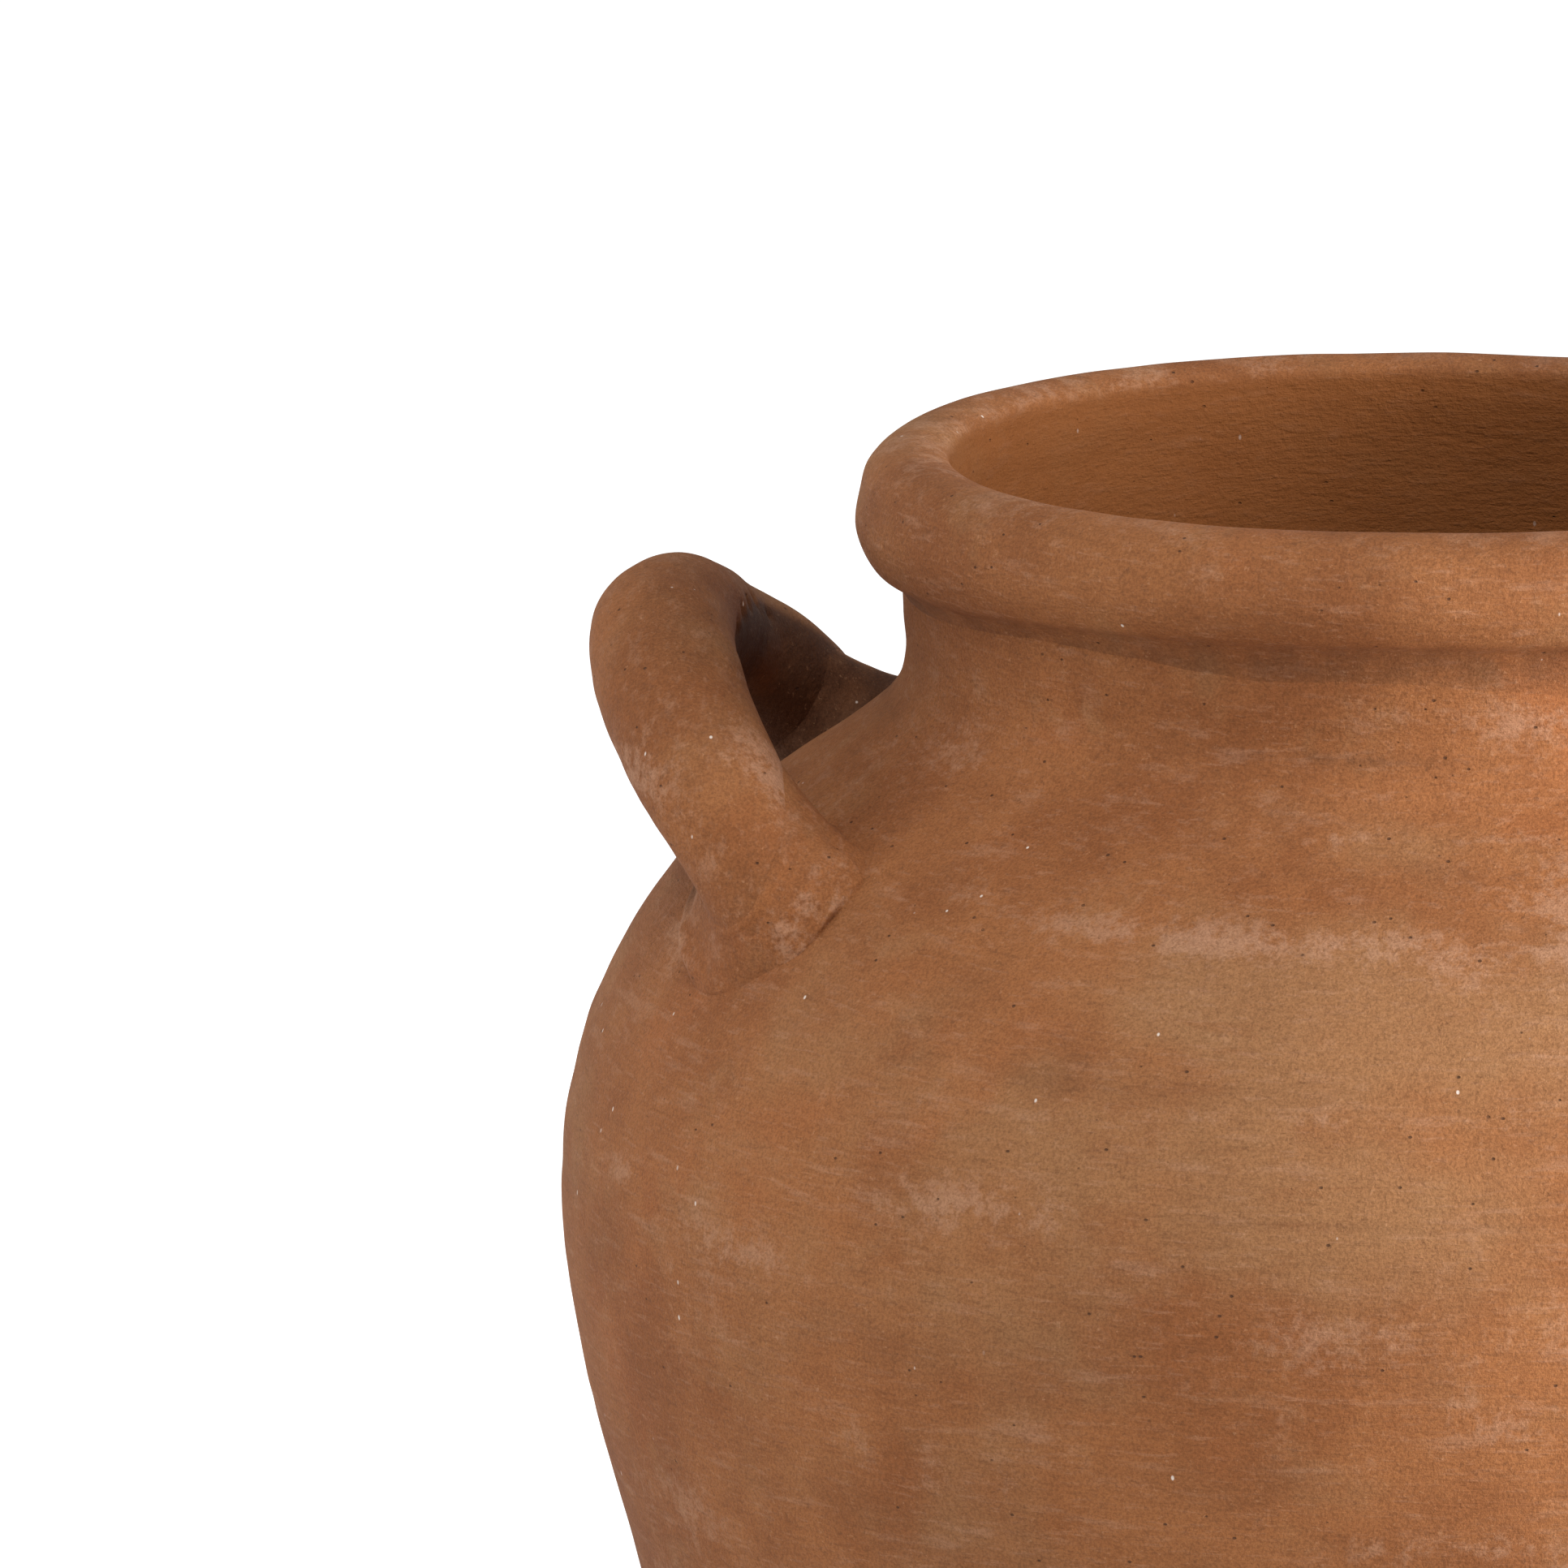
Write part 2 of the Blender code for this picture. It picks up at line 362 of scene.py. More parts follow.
WALL_NODES = ("lower_wall", "belly_wall", "shoulder_wall", "neck")
WALL_ROWS = np.vstack([cad_rows(node) for node in WALL_NODES])
WALL_ROWS = WALL_ROWS[np.append(np.diff(WALL_ROWS[:, 0]) > ROW_SPACING, True)]
HOLLOW_ROWS = WALL_ROWS[WALL_ROWS[:, 1] - WALL_ROWS[:, 2] > THINNEST_WALL]
OUTSIDE = spline(WALL_ROWS[:, 0], WALL_ROWS[:, 1])
INSIDE = spline(HOLLOW_ROWS[:, 0], HOLLOW_ROWS[:, 2])
FLOOR_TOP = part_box("base_slab")[1].z
NECK_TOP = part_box("neck")[1].z
JOINS = [(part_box(a)[1].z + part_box(b)[0].z) / 2 for a, b in zip(WALL_NODES, WALL_NODES[1:])]
SEAMS = [FLOOR_TOP, *JOINS, NECK_TOP]
WIDEST = WALL_ROWS[WALL_ROWS[:, 1].argmax(), 0]


def neck_swell(azimuth, height):
    """The neck stands out a little on the left, where it was wiped less."""
    return 0.0009 * np.clip(-np.cos(azimuth), 0, 1) ** 2 * smooth(height, 0.500, 0.510)


def on_axis(azimuth, radius, height):
    """Points from their azimuth round the jar's axis, distance from it and height."""
    azimuth, radius, height = np.broadcast_arrays(azimuth, radius, height)
    return np.stack([radius * np.cos(azimuth), radius * np.sin(azimuth), height], -1)


def thrown_relief(azimuth, height, seed):
    """The unevenness that throwing leaves: out of round, soft rings and wiping lines, in metres."""
    place = on_axis(azimuth, 0.2, height)
    wheel = on_axis(azimuth, 0.030, height)
    slow = 0.00055 * noise(place, 0.17, seed)
    rings = 0.00022 * noise(wheel, 0.011, seed + 1) + 0.00012 * noise(wheel, 0.0050, seed + 2)
    lumps = 0.00022 * layered(place, 0.034, seed + 3, 2)
    return slow + rings + lumps - 0.0008 * np.exp(-(((height - WIDEST) / 0.035) ** 2))


def slant(height):
    """Distance in or out from the axis for each metre square to the wall's surface."""
    slope = (OUTSIDE(height + 0.0005) - OUTSIDE(height - 0.0005)) / 0.001
    return np.sqrt(1 + slope**2)


def wall_depth(points):
    """How deep each point lies under the wall's outer surface, square to it."""
    height = points[..., 2]
    gap = OUTSIDE(height) - np.hypot(points[..., 0], points[..., 1])
    return gap / slant(height)


def sink_to(points, depth):
    """The points moved straight in or out from the axis to lie this deep under the wall's surface."""
    height = points[..., 2]
    radius = OUTSIDE(height) - depth * slant(height)
    azimuth = np.arctan2(points[..., 1], points[..., 0])
    radius = radius + thrown_relief(azimuth, height, OUTER_SEED)
    return on_axis(azimuth, radius, height)


AROUND = np.linspace(-pi, pi, COLUMNS, endpoint=False)[None, :]


def painted(marks, azimuth, height, seed, spare):
    """Strength of the listed marks at each place, and of some more spread by chance over the jar."""
    chance = np.random.default_rng(seed)
    extra = [
        (
            chance.uniform(-40, 220),
            chance.uniform(0.04, 0.50),
            chance.uniform(5, 24),
            chance.uniform(0.002, 0.012),
            chance.uniform(0.3, 0.9),
        )
        for _ in range(spare)
    ]
    total = np.zeros(np.broadcast(azimuth, height).shape)
    degrees = np.degrees(azimuth)
    for centre, level, width, tall, strength in (*marks, *extra):
        across = ((degrees - centre + 180) % 360 - 180) / width
        up = (height - level) / tall
        total = np.maximum(total, strength * np.exp(-np.abs(across) ** 2.6 - up**2))
    return total


def surface_marks(azimuth, height, inside):
    """The float attributes that the clay material reads, for a thrown piece."""
    return {
        # bloom also holds painted highlights on the lit right side
        "bloom": painted(BLOOMS_AND_HIGHLIGHTS, azimuth, height, 5, 34),
        "smudge_and_shade": painted(SMUDGES, azimuth, height, 6, 18),
        "ochre": painted(OCHRES, azimuth, height, 7, 6),
        "inside": np.broadcast_to(inside, np.broadcast(azimuth, height).shape).astype(float),
    }


def level_steps(low, high, step):
    """Values from low to high, evenly spaced and no farther apart than step."""
    return np.linspace(low, high, 2 + int((high - low) / step))


def outer_face(height):
    """Points all round the wall's outer surface at these heights."""
    radius = OUTSIDE(height) + thrown_relief(AROUND, height, OUTER_SEED) + neck_swell(AROUND, height)
    return on_axis(AROUND, radius, height)


def inner_relief(height):
    """The inner surface is rougher than the outer, because nothing wipes it smooth."""
    return 1.6 * thrown_relief(AROUND, height, INNER_SEED)


def make_wall_ring(node, low, high):
    """One ring of the wall, with its outer face finer than its inner face.

    The outer face's normals take in one row past each end, so that no seam shows between two rings.
    """
    outer = level_steps(low, high, OUTER_ROW)[::-1, None]
    inner = level_steps(low, high, INNER_ROW)[:, None]
    back = on_axis(AROUND, INSIDE(inner) - inner_relief(inner), inner)
    heights = np.vstack([outer, inner])
    # the inner face is marked for the painted shade of the jar's inside
    inside = np.vstack([np.zeros_like(outer), np.ones_like(inner)])
    marks = surface_marks(AROUND, heights, inside)
    ring = grid_object(f"{node}_clay", np.vstack([outer_face(outer), back]), True, marks)
    over = np.vstack([outer[:1] + OUTER_ROW, outer, outer[-1:] - OUTER_ROW])
    normals = np.vstack([grid_normals(outer_face(over))[1:-1], grid_normals(back)])
    ring.data.normals_split_custom_set_from_vertices(normals.reshape(-1, 3).tolist())
    return ring


def make_floor_slab():
    """The thrown floor, with a worn, rounded bottom edge."""
    edge = OUTSIDE(FLOOR_TOP) + thrown_relief(AROUND, FLOOR_TOP, OUTER_SEED)
    slab_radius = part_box("base_slab")[1].x
    foot = slab_radius - (OUTSIDE(FLOOR_TOP) - slab_radius)
    foot = np.minimum(edge, foot + 0.5 * (edge - edge.mean()))
    level = np.ones_like(edge)
    rows = []
    for share in np.linspace(0.02, 1.0, 24):
        dents = 0.0006 * (1 - share) * noise(on_axis(AROUND, 0.1 * share, 0), 0.03, 3)
        rows.append((edge * share, FLOOR_TOP * level + dents))
    for height in level_steps(FOOT_ROUNDING, FLOOR_TOP, OUTER_ROW)[::-1][1:]:
        rows.append((edge + (foot - edge) * (FLOOR_TOP - height) / FLOOR_TOP, height * level))
    for turn in np.linspace(0, pi / 2, 8)[1:]:
        rows.append((foot - FOOT_ROUNDING * (1 - cos(turn)), FOOT_ROUNDING * (1 - sin(turn)) * level))
    for share in np.linspace(1.0, 0.02, 14)[1:]:
        rows.append(((foot - FOOT_ROUNDING) * share, 0 * level))
    radius, height = (np.vstack(part) for part in zip(*rows))
    # the slab's top, the jar's inner floor, is marked for painted shade
    inside = (height > FLOOR_TOP - 0.0015).astype(float)
    marks = surface_marks(AROUND, height, inside)
    return grid_object("base_slab_clay", on_axis(AROUND, radius, height), False, marks)


# ---------------------------------------------------------------- the collar


def collar_face():
    """Radius, height and length so far along the collar's visible face, and the length at each station."""
    stations = np.array([(radius, TOP - depth) for radius, depth in COLLAR_FACE])
    lengths = np.r_[0, np.cumsum(np.hypot(*np.diff(stations, axis=0).T))]
    along = level_steps(0, lengths[-1], COLLAR_ROW)
    radius, height = spline(lengths, stations)(along).T
    height = height + TOP - height.max()
    return radius[:, None], height[:, None], along[:, None], lengths


def collar_surface(radius, height, along, lengths):
    """The collar's face all round: tilted, higher under its front, and uneven."""
    to_left = np.clip(-np.cos(AROUND), 0, 1) ** 2
    to_front = np.clip(-np.sin(AROUND), 0, 1) ** 2
    to_back = np.clip(np.sin(AROUND), 0, 1) ** 2
    bottom = TOP - COLLAR_FACE[-1][1]
    share = np.clip((height - bottom) / (TOP - bottom), 0, 1)
    drop = RIM_TILT * (to_left + to_back) + 0.0002 * (1 - noise(on_axis(AROUND, 0.12, 0), 0.06, 71))
    outer_shift = -drop * share + SKIRT_HIGH * to_front * (1 - share) * smooth(share, -0.15, 0.2)
    inner_shift = -drop * smooth(height, NECK_TOP, TOP)
    past_crest = smooth(along, lengths[CREST_STATION] - 0.004, lengths[CREST_STATION])
    lifted = height + inner_shift + (outer_shift - inner_shift) * past_crest

    place = on_axis(AROUND, radius, lifted)
    wheel = on_axis(AROUND, 0.030, along)
    relief = 0.0005 * noise(place, 0.08, 61) + 0.00028 * layered(place, 0.022, 62, 2)
    relief = relief + 0.00022 * noise(wheel, 0.0075, 64)
    edges = smooth(along, 0, 0.006) * (1 - smooth(along, lengths[-1] - 0.006, lengths[-1]))
    tangent = np.gradient(np.hstack([radius, height]), axis=0)
    tangent = tangent / np.linalg.norm(tangent, axis=1)[:, None]
    seam = inner_relief(NECK_TOP) * (1 - smooth(along, 0, 0.012))
    new_radius = radius - tangent[:, 1:] * relief * edges - seam
    new_height = lifted + tangent[:, :1] * relief * edges
    new_height = new_height + (TOP - new_height.max()) * share
    return on_axis(AROUND, new_radius, new_height)


def collar_marks(heights, along, lengths):
    """Bloom on the lip, more of it at the left, painted shade under the roll, and painted shade in the bore.
    """
    rows = len(along)
    bore_end = lengths[CREST_STATION - 1]
    lip_end = lengths[CREST_STATION + 1]
    marks = surface_marks(AROUND, heights, 0.0)
    bore = 1 - smooth(along, bore_end - 0.004, bore_end + 0.001)
    # the bore is marked for painted shade
    marks["inside"][:rows] = bore
    to_left = np.clip(-np.cos(AROUND), 0, 1) ** 2
    lip = smooth(along, bore_end - 0.004, bore_end) * (1 - smooth(along, lip_end - 0.003, lip_end + 0.003))
    marks["bloom"][:rows] = np.maximum(marks["bloom"][:rows], lip * (0.25 + 0.30 * to_left))
    # painted shade under the collar's roll
    under_roll_shade = smooth(along, lengths[8] - 0.002, lengths[9]) * (1 - smooth(along, lengths[10], lengths[11]))
    marks["smudge_and_shade"][:rows] = np.maximum(marks["smudge_and_shade"][:rows], 0.75 * under_roll_shade)
    return marks


def make_collar():
    """The rolled rim: thick, hand-finished and a little uneven, smoothed onto the neck below it."""
    radius, height, along, lengths = collar_face()
    visible = collar_surface(radius, height, along, lengths)
    bottom = visible[-1:] * (0.992, 0.992, 1.0) + (0.0, 0.0, 0.0015)
    lap_radius = OUTSIDE(NECK_TOP) - COLLAR_SINK - 0.001
    lap_bottom = TOP - COLLAR_FACE[-1][1] + 0.004
    seat = NECK_TOP - 0.0004
    hidden = ((lap_radius, lap_bottom), (lap_radius, seat), (COLLAR_FACE[0][0] + 0.004, seat))
    grid = np.vstack([visible, bottom, *(on_axis(AROUND, r, h) for r, h in hidden)])
    return grid_object("rim_collar_clay", grid, True, collar_marks(grid[..., 2], along, lengths))


# ---------------------------------------------------------------- handles and luting

LEAN = np.array([LOOP_OUT, 0.0, LOOP_UP])
LEAN = LEAN / np.linalg.norm(LEAN)
ACROSS = np.array([-LEAN[2], 0.0, LEAN[0]])  # square to the loop's plane, towards the neck and up


def loop_centre(angle):
    """The middle of a handle's section at an angle round its ellipse."""
    lift = np.sin(angle)
    out = LOOP_CENTRE[0] + LOOP_OUT * lift
    centre = np.stack([out, LOOP_HALF_SPAN * np.cos(angle), LOOP_CENTRE[1] + LOOP_UP * lift], -1)
    return centre - ACROSS * (FIRST_LEG_SHIFT * np.clip(np.cos(angle), 0, 1) ** 8)[..., None]


def from_turn(turn, degrees):
    """The shorter way round from a turn given in degrees, in radians."""
    return (turn - radians(degrees) + pi) % (2 * pi) - pi


def loop_surface(angle, turn, seed, extra=0.0):
    """Points of a handle: angle goes round its ellipse, and turn round its section from its outer side."""
    angle, turn = np.broadcast_arrays(angle, turn)
    reach = np.hypot(LOOP_OUT, LOOP_UP)
    normal = np.stack([np.cos(angle) / LOOP_HALF_SPAN, np.sin(angle) / reach], -1)
    normal = normal / np.linalg.norm(normal, axis=-1)[..., None]
    outward = normal[..., :1] * np.array([0.0, 1.0, 0.0]) + normal[..., 1:] * LEAN
    centre = loop_centre(angle)
    direction = np.cos(turn)[..., None] * outward + np.sin(turn)[..., None] * ACROSS
    place = centre + direction * HANDLE_RADIUS
    radius = HANDLE_RADIUS * (1 + FOOT_SWELLING * np.cos(angle) ** 2) + extra
    radius = radius + 0.00075 * noise(place, 0.030, seed) + 0.00035 * layered(place, 0.012, seed + 1, 2)
    radius = radius - 0.0003
    for where, side, wide, deep in HANDLE_DENTS:
        off_angle = (angle - radians(where)) * LOOP_HALF_SPAN
        off_turn = from_turn(turn, side) * HANDLE_RADIUS
        radius = radius - deep * np.exp(-(off_angle**2 + off_turn**2) / wide**2)
    return centre + direction * radius[..., None]


TURNS = np.linspace(0, 2 * pi, HANDLE_COLUMNS, endpoint=False)


def angle_at_depth(turn, depth, end, seed):
    """For each turn, the angle round the loop where the handle's surface is this deep in the wall."""
    sign = 1.0 if end == 0 else -1.0
    low = np.full(turn.shape, end - sign * radians(16))
    high = np.full(turn.shape, end + sign * radians(34))
    for _ in range(26):
        middle = (low + high) / 2
        deeper = wall_depth(loop_surface(middle, turn, seed)) > depth
        low = np.where(deeper, middle, low)
        high = np.where(deeper, high, middle)
    return (low + high) / 2


def turned_half(grid, half_turn):
    """The +X side's points, turned half way round the jar for the -X side."""
    return grid * np.array([-1.0, -1.0, 1.0]) if half_turn else grid


def handle_marks(grid, seed, bloom):
    """The float attributes that the clay material reads, for a handle or its luting: less bloom on top."""
    spots = np.clip(0.5 + 0.9 * layered(grid, 0.026, seed + 20, 2), 0, 1)
    top = smooth(grid[..., 2], 0.484, 0.512)
    return {
        "bloom": bloom * spots**2 * (1 - 0.85 * top),
        "smudge_and_shade": np.clip(layered(grid, 0.03, seed + 30, 2) * 1.4 - 0.2, 0, 1) * 0.6 + 0.3 * top,
        "ochre": np.zeros(grid.shape[:2]),
        "inside": np.zeros(grid.shape[:2]),
    }


def loop_painted_shade(turn, share):
    """The painted shade inside a loop: narrow on its first leg, where share is 0, and wide on its second."""
    edge = 0.5 - share
    return LOOP_SHADE * smooth(-np.cos(turn - radians(10)), edge, edge + 0.6)


def make_handle(name, half_turn, seed):
    """A loop of round clay whose ends follow the wall just under its surface."""
    start = angle_at_depth(TURNS, HANDLE_SINK, 0, seed)
    stop = angle_at_depth(TURNS, HANDLE_SINK, pi, seed)
    share = np.linspace(0, 1, HANDLE_ROWS)[:, None]
    angle = start + (stop - start) * share
    grid = loop_surface(angle, TURNS[None, :], seed)
    marks = handle_marks(grid, seed, HANDLE_BLOOM)
    # painted shade on the inner side of the loop
    marks["smudge_and_shade"] = np.maximum(marks["smudge_and_shade"], loop_painted_shade(TURNS[None, :], smooth(share, 0.40, 0.75)))
    return grid_object(f"{name}_clay", turned_half(grid, half_turn), False, marks, flip=True)


def around_curve(stations):
    """A smooth function of the turn, in radians, through the stations, which are in degrees."""
    turns = np.radians(list(stations))
    values = np.array(list(stations.values()))
    knots = np.concatenate([turns - 2 * pi, turns, turns + 2 * pi])
    return spline(knots, np.tile(values, 3))


def luting_edges(name, turn, sign, at_wall, corner, handle_seed, seed):
    """Where the clay ends on the leg and on the wall, and where it ends hidden inside the leg."""
    rise = around_curve(RISES[name])(turn) + 0.02 * noise(corner, 0.012, seed)
    on_leg = loop_surface(at_wall + sign * rise, turn, handle_seed, extra=-0.0006)
    in_leg = loop_surface(at_wall + sign * rise * 0.8, turn, handle_seed, extra=-0.0040)
    away = corner - corner.mean(0)
    away = away / np.linalg.norm(away, axis=1)[:, None]
    reach = around_curve(REACHES[name])(turn) * (1 + 0.10 * noise(corner, 0.010, seed + 1))
    reach = reach + ragged_side(turn) * 0.0012 * layered(corner, 0.0045, seed + 2, 2)
    on_wall = sink_to(corner + away * reach[:, None], 0.0004)
    return on_leg, on_wall, in_leg, away


def ragged_side(turn):
    """1 on the side of a leg where the clay's edge has flaked, and 0 elsewhere."""
    return smooth(np.cos(turn - radians(FLAKED_TURN)), 0.60, 0.92)


def luting_relief(visible, turn, share, seed):
    """How far the clay stands out from its smooth shape, and how strongly it is flaked or welted."""
    welt = smooth(np.cos(turn - radians(WELT_TURN)), 0.66, 0.92) * np.exp(-(((share - 0.74) / 0.13) ** 2))
    bead = np.exp(-(((share - 0.17) / 0.08) ** 2)) * smooth(np.cos(turn - radians(BEAD_TURN)), 0.4, 0.9)
    flaked = ragged_side(turn) * smooth(share, 0.25, 0.60)
    relief = 0.0006 * noise(visible, 0.012, seed + 3) + 0.0003 * layered(visible, 0.006, seed + 4, 2)
    relief = relief + 0.0022 * welt + 0.0008 * bead
    relief = relief + flaked * (0.0006 + 0.0015 * layered(visible, 0.0036, seed + 6))
    fade = smooth(share, 0.0, 0.12) * (1 - smooth(share, 0.94, 1.0))
    return relief * fade, np.maximum(flaked, welt)


def make_luting(name, half_turn, end, handle_seed, seed):
    """Soft clay pressed into the corner between a leg and the wall and smeared out over the wall."""
    turn = np.linspace(0, 2 * pi, LUTING_COLUMNS, endpoint=False)
    sign = 1.0 if end == 0 else -1.0
    at_wall = angle_at_depth(turn, 0.0, end, handle_seed)
    corner = loop_surface(at_wall, turn, handle_seed)
    on_leg, on_wall, in_leg, away = luting_edges(name, turn, sign, at_wall, corner, handle_seed, seed)
    fullness = around_curve(FULLNESS[name.split("_")[1]])(turn)[:, None]
    middle = corner + ((on_leg + on_wall) / 2 - corner) * fullness + away * 0.0012
    share = np.linspace(0, 1, LUTING_ROWS)[:, None]
    t = share[..., None]
    visible = (1 - t) ** 2 * on_leg + 2 * t * (1 - t) * middle + t**2 * on_wall

    relief, rough = luting_relief(visible, turn, share, seed)
    normal = np.cross(np.gradient(visible, axis=1), np.gradient(visible, axis=0))
    normal = normal / np.linalg.norm(normal, axis=-1)[..., None]
    outward = np.sign((normal * (visible - sink_to(visible, 0.006))).sum(-1).mean())
    visible = visible + normal * outward * relief[..., None]
    under_foot = sink_to(on_wall, 0.0030)
    under_corner = sink_to(corner - away * 0.003, 0.0040)
    grid = np.concatenate([visible, [under_foot, under_corner, in_leg]])

    marks = handle_marks(grid, seed, LUTING_BLOOM)
    marks["bloom"][:LUTING_ROWS] = np.maximum(marks["bloom"][:LUTING_ROWS], 0.8 * rough)
    # painted shade on the leg's side inside the loop
    marks["smudge_and_shade"] = np.maximum(marks["smudge_and_shade"], loop_painted_shade(turn, float(end != 0)))
    return grid_object(f"{name}_luting_clay", turned_half(grid, half_turn), True, marks, flip=end != 0)


# ---------------------------------------------------------------- clay material


class Tree:
    """Short ways to add and join shader nodes in one material."""

    def __init__(self, material):
        material.use_nodes = True
        self.tree = material.node_tree
        self.shader = self.tree.nodes["Principled BSDF"]

    def node(self, kind, inputs=None, **settings):
        made = self.tree.nodes.new(kind)
        for key, value in settings.items():
            setattr(made, key, value)
        for key, value in (inputs or {}).items():
            self.put(value, made.inputs[key])
        return made

    def put(self, value, socket):
        if isinstance(value, bpy.types.NodeSocket):
            self.tree.links.new(value, socket)
        else:
            socket.default_value = value

    def math(self, operation, a, b=0.0, c=0.0, clamp=False):
        inputs = {0: a, 1: b, 2: c}
        return self.node("ShaderNodeMath", inputs, operation=operation, use_clamp=clamp).outputs[0]

    def vector(self, operation, a, b=(0.0, 0.0, 0.0)):
        return self.node("ShaderNodeVectorMath", {0: a, 1: b}, operation=operation).outputs[0]

    def noise(self, place, scale, detail=2.0, roughness=0.5):
        inputs = {"Vector": place, "Scale": scale, "Detail": detail, "Roughness": roughness}
        return self.node("ShaderNodeTexNoise", inputs).outputs["Fac"]

    def specks(self, place, scale, outer, inner, rarity):
        """1 inside small separate spots. outer and inner are their radii as shares of a cell."""
        cells = self.node("ShaderNodeTexVoronoi", {"Vector": place, "Scale": scale})
        chosen = self.step(cells.outputs["Color"], rarity, rarity + 0.02)
        return self.math("MULTIPLY", self.step(cells.outputs["Distance"], outer, inner), chosen)

    def step(self, value, low, high):
        """0 at low, 1 at high, smooth between. low may be above high."""
        inputs = {"Value": value, "From Min": low, "From Max": high}
        made = self.node("ShaderNodeMapRange", inputs, interpolation_type="SMOOTHSTEP", clamp=True)
        return made.outputs["Result"]

    def share_of(self, share, value, low, high):
        """0 where the value is at low, share where it is at high, and smooth between."""
        return self.math("MULTIPLY", self.step(value, low, high), share)

    def mix(self, share, a, b, blend="MIX"):
        made = self.node("ShaderNodeMix", data_type="RGBA", blend_type=blend)
        self.put(share, made.inputs["Factor"])
        self.put(a, made.inputs["A"])
        self.put(b, made.inputs["B"])
        return made.outputs["Result"]

    def mark(self, name):
        return self.node("ShaderNodeAttribute", attribute_name=name).outputs["Fac"]


def clay_material(name, tint, bloom_base, thrown):
    """Sandy fired clay: mottled, wiped in rings if thrown, with bloom, dark wiping marks, grains, pits and
    lime, and with painted highlights and painted shade.
    """
    material = bpy.data.materials.new(name)
    tree = Tree(material)
    place = tree.node("ShaderNodeTexCoord").outputs["Object"]
    if thrown:
        jar_side = tree.vector("NORMALIZE", tree.vector("MULTIPLY", place, (1.0, 1.0, 0.0)))
        broad, streaky, stroked = (
            tree.vector(
                "ADD",
                tree.vector("MULTIPLY", jar_side, (around, around, 0.0)),
                tree.vector("MULTIPLY", place, (0.0, 0.0, up)),
            )
            for around, up in ((6.0, 50.0), (7.0, 230.0), (22.0, 900.0))
        )
    else:
        broad = tree.vector("MULTIPLY", place, (34.0, 20.0, 34.0))
        streaky = tree.vector("MULTIPLY", place, (150.0, 60.0, 110.0))
        stroked = tree.vector("MULTIPLY", place, (420.0, 160.0, 340.0))

    haze = tree.noise(tree.vector("ADD", place, (3.0, 1.0, 0.0)), 8.0, 4.0, 0.6)
    mottle = tree.noise(place, 19.0, 6.0, 0.65)
    drift = tree.noise(broad, 1.0, 5.0, 0.62)
    streak = tree.noise(streaky, 1.0, 6.0, 0.68)
    stroke = tree.noise(stroked, 1.0, 3.0, 0.65)
    patch = tree.noise(place, 55.0, 6.0, 0.70)
    crumbs = tree.noise(place, 300.0, 4.0, 0.72)
    grain = tree.noise(place, 620.0, 3.0, 0.75)
    sand = tree.noise(place, 1400.0, 2.0, 0.8)

    deep = (0.262 * tint, 0.091 * tint, 0.029 * tint, 1.0)
    warm = (0.345 * tint, 0.132 * tint, 0.045 * tint, 1.0)
    red = (0.370 * tint, 0.119 * tint, 0.038 * tint, 1.0)
    tan = (0.330, 0.170, 0.075, 1.0)
    pale = (0.470, 0.262, 0.165, 1.0)
    dark = (0.130, 0.050, 0.020, 1.0)
    # painted shade: nearly black, for the deepest part of the loops
    painted_shade_black = (0.070, 0.027, 0.012, 1.0)
    quartz = (0.56, 0.30, 0.16, 1.0)
    hole = (0.070, 0.028, 0.014, 1.0)
    lime_white = (0.72, 0.62, 0.54, 1.0)
    # painted shade: the darker, browner colour of the jar's inside
    inner_shade_brown = (0.19, 0.056, 0.008, 1.0)
    tanned = tree.math("MULTIPLY_ADD", tree.mark("ochre"), 0.22, haze)
    layers = (
        (mottle, 0.36, 0.62, 0.90, warm),
        (tanned, 0.54, 0.74, 0.60, tan),
        (haze, 0.46, 0.34, 0.40, red),
        (drift, 0.52, 0.72, 0.30, tan),
        (drift, 0.46, 0.30, 0.35, deep),
        (streak, 0.53, 0.70, 0.26, pale),
        (streak, 0.46, 0.30, 0.32, deep),
        (stroke, 0.55, 0.70, 0.20, pale),
        (stroke, 0.44, 0.30, 0.24, dark),
    )
    colour = deep
    for field, low, high, share, layer in layers:
        colour = tree.mix(tree.share_of(share, field, low, high), colour, layer)

    # the bloom mark holds real bloom and painted highlights
    bloom_and_highlight_mark = tree.mark("bloom")
    broken = tree.math("ADD", tree.math("MULTIPLY", patch, 0.45), tree.math("MULTIPLY", drift, 0.20))
    broken = tree.math("ADD", broken, tree.math("MULTIPLY", crumbs, 0.35))
    threshold = tree.math("SUBTRACT", 0.575, tree.math("MULTIPLY", bloom_and_highlight_mark, 0.12))
    bloom = tree.step(tree.math("SUBTRACT", broken, threshold), -0.03, 0.07)
    strength = tree.math("MULTIPLY_ADD", bloom_and_highlight_mark, 0.35, bloom_base)
    colour = tree.mix(tree.math("MULTIPLY", bloom, strength), colour, pale)

    # Dark wiping marks, together with painted shade under the collar's roll and inside the loops
    wiped = tree.step(tree.noise(broad, 2.0, 4.0, 0.6), 0.30, 0.58)
    smudge_and_shade = tree.math("MULTIPLY", tree.mark("smudge_and_shade"), wiped)
    colour = tree.mix(tree.math("MULTIPLY", smudge_and_shade, 0.60, clamp=True), colour, dark)
    # painted shade: inside the loops, where the mark passes 0.8, the clay goes nearly black
    colour = tree.mix(tree.share_of(0.72, tree.mark("smudge_and_shade"), 0.8, 1.7), colour, painted_shade_black)

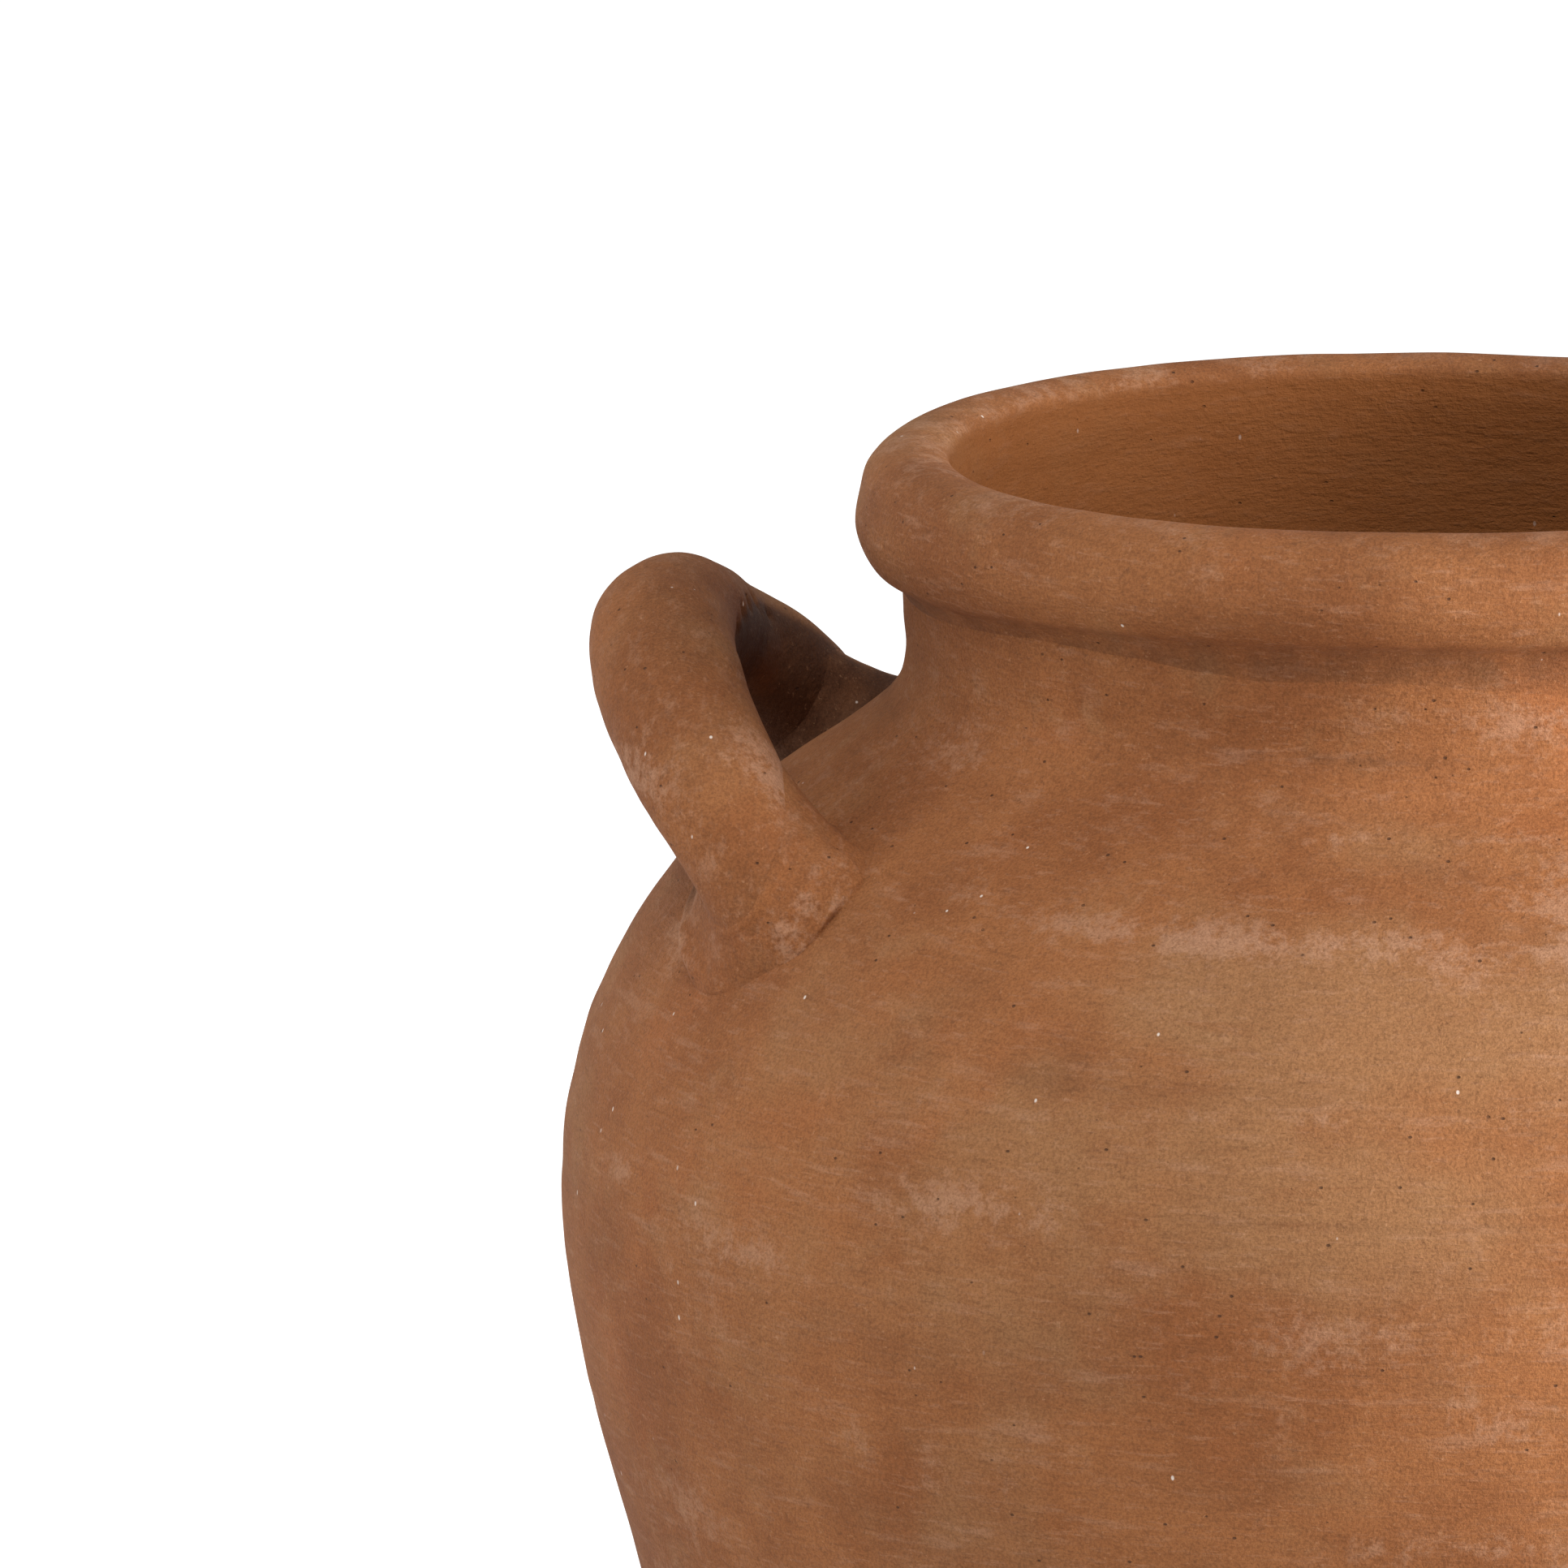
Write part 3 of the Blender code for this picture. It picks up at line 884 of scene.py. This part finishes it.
    shade = tree.mix(tree.step(sand, 0.34, 0.64), (0.55, 0.50, 0.45, 1.0), (1.0, 1.0, 1.0, 1.0))
    colour = tree.mix(0.60, colour, shade, "MULTIPLY")
    colour = tree.mix(tree.share_of(0.28, grain, 0.60, 0.74), colour, quartz)
    colour = tree.mix(tree.share_of(0.50, grain, 0.43, 0.28), colour, dark)

    pit = tree.specks(tree.vector("MULTIPLY", place, (1.0, 1.0, 1.5)), 240.0, 0.13, 0.06, 0.74)
    colour = tree.mix(tree.math("MULTIPLY", pit, 0.75), colour, hole)
    lime = tree.specks(tree.vector("MULTIPLY", place, (1.0, 1.0, 0.6)), 210.0, 0.10, 0.05, 0.78)
    colour = tree.mix(tree.math("MULTIPLY", lime, 0.85), colour, lime_white)

    # Painted shade: the jar's inside, its bore and its floor are darker and browner
    inner_shaded_colour = tree.mix(0.72, colour, inner_shade_brown)
    tree.put(tree.mix(tree.mark("inside"), colour, inner_shaded_colour), tree.shader.inputs["Base Color"])
    rough = tree.node("ShaderNodeMapRange", {"Value": bloom, "To Min": 0.80, "To Max": 0.96})
    tree.put(rough.outputs["Result"], tree.shader.inputs["Roughness"])
    tree.shader.inputs["Specular IOR Level"].default_value = 0.2

    relief = tree.math("MULTIPLY", pit, -2.0)
    bumps = ((streak, 0.8), (stroke, 0.6), (crumbs, 0.5), (grain, 0.5), (sand, 0.3), (patch, 0.6))
    for field, weight in bumps:
        relief = tree.math("MULTIPLY_ADD", field, weight, relief)
    bump = tree.node("ShaderNodeBump", {"Height": relief, "Strength": 0.80, "Distance": 0.0008})
    tree.put(bump.outputs["Normal"], tree.shader.inputs["Normal"])
    return material


# ---------------------------------------------------------------- stage, light and camera


def make_stage():
    """A pale floor with painted light: it glows like a lit white sweep, and glows less near the jar as
    painted shade.
    """
    material = bpy.data.materials.new("studio_white")
    tree = Tree(material)
    tree.shader.inputs["Base Color"].default_value = (0.62, 0.62, 0.62, 1.0)
    tree.shader.inputs["Roughness"].default_value = 0.9
    tree.shader.inputs["Emission Color"].default_value = (1.0, 1.0, 1.0, 1.0)
    place = tree.node("ShaderNodeTexCoord").outputs["Object"]
    distance = tree.node("ShaderNodeVectorMath", {0: place}, operation="LENGTH").outputs["Value"]
    far = tree.step(distance, GLOW_STARTS, GLOW_ENDS)
    glow = tree.math("MULTIPLY_ADD", far, GLOW_FAR - GLOW_NEAR, GLOW_NEAR)
    tree.put(glow, tree.shader.inputs["Emission Strength"])
    bpy.ops.mesh.primitive_circle_add(vertices=96, radius=16, fill_type="NGON")
    floor = bpy.context.object
    floor.name = "studio_floor"
    floor.data.materials.append(material)


def make_light(name, azimuth, elevation, distance, size, power):
    """A square softbox that faces the jar. Azimuth 0 is the camera's side and 90 is to the right."""
    data = bpy.data.lights.new(name, "AREA")
    data.shape = "SQUARE"
    data.size = size
    data.energy = power
    light = bpy.data.objects.new(name, data)
    around = radians(azimuth) - pi / 2 + CAMERA_AZIMUTH
    up = radians(elevation)
    target = Vector((0, 0, TOP * 0.6))
    offset = Vector((cos(around) * cos(up), sin(around) * cos(up), sin(up))) * distance
    light.location = target + offset
    light.rotation_euler = (-offset).to_track_quat("-Z", "Y").to_euler()
    bpy.context.scene.collection.objects.link(light)


def make_lights():
    """A low key light from the right, a high one in front and a weak one at the left, in a pale room."""
    world = bpy.data.worlds.new("studio")
    world.use_nodes = True
    world.node_tree.nodes["Background"].inputs["Color"].default_value = (1.0, 1.0, 1.0, 1.0)
    world.node_tree.nodes["Background"].inputs["Strength"].default_value = 0.40
    bpy.context.scene.world = world
    make_light("key_softbox", 72, 12, 2.6, 1.4, 106)
    make_light("front_softbox", -15, 58, 3.0, 1.8, 45)
    make_light("left_softbox", -95, 24, 3.0, 1.6, 18)


def make_camera():
    """A long lens, aimed left of the jar's middle, that looks down on it a little."""
    data = bpy.data.cameras.new("camera")
    data.lens = CAMERA_LENS
    data.sensor_width = 36
    data.clip_end = 100
    camera = bpy.data.objects.new("camera", data)
    swing = Matrix.Rotation(CAMERA_AZIMUTH, 3, "Z")
    camera.location = swing @ Vector((0, -CAMERA_DISTANCE, TOP + CAMERA_RISE))
    aim = swing @ Vector((-AIM_LEFT, 0, AIM_HEIGHT))
    camera.rotation_euler = (aim - camera.location).to_track_quat("-Z", "Y").to_euler()
    bpy.context.scene.collection.objects.link(camera)
    bpy.context.scene.camera = camera


# ---------------------------------------------------------------- put together


def place_piece(piece, node, material):
    """Gives the piece its material, and lets it stand for its CAD node."""
    piece.data.materials.append(material)
    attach(piece, "root")
    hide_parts(node)


def place_thrown_pieces():
    """The slab, the rings of the wall and the collar."""
    wall = clay_material("wall_clay", 0.98, 0.20, True)
    collar = clay_material("collar_clay", 0.90, 0.20, True)
    place_piece(make_floor_slab(), "base_slab", wall)
    for node, low, high in zip(WALL_NODES, SEAMS, SEAMS[1:]):
        place_piece(make_wall_ring(node, low, high), node, wall)
    place_piece(make_collar(), "rim_collar", collar)


def place_handles():
    """Both handles with their luting. The left one is turned half way round, so its first leg is in front."""
    handle = clay_material("handle_clay", 0.96, 0.24, False)
    luting = clay_material("luting_clay", 1.00, 0.24, False)
    for side, half_turn, seed, legs in (
        ("left", True, 100, ("front", "back")),
        ("right", False, 200, ("back", "front")),
    ):
        node = f"{side}_handle"
        place_piece(make_handle(node, half_turn, seed), node, handle)
        for end, leg, luting_seed in zip((0, pi), legs, (seed + 40, seed + 50)):
            name = f"{side}_{leg}"
            piece = make_luting(name, half_turn, end, seed, luting_seed)
            place_piece(piece, f"{name}_luting", luting)


def main():
    place_thrown_pieces()
    place_handles()
    make_stage()
    make_lights()
    make_camera()
    bpy.context.scene.view_settings.view_transform = "Standard"
    bpy.context.view_layer.update()


main()
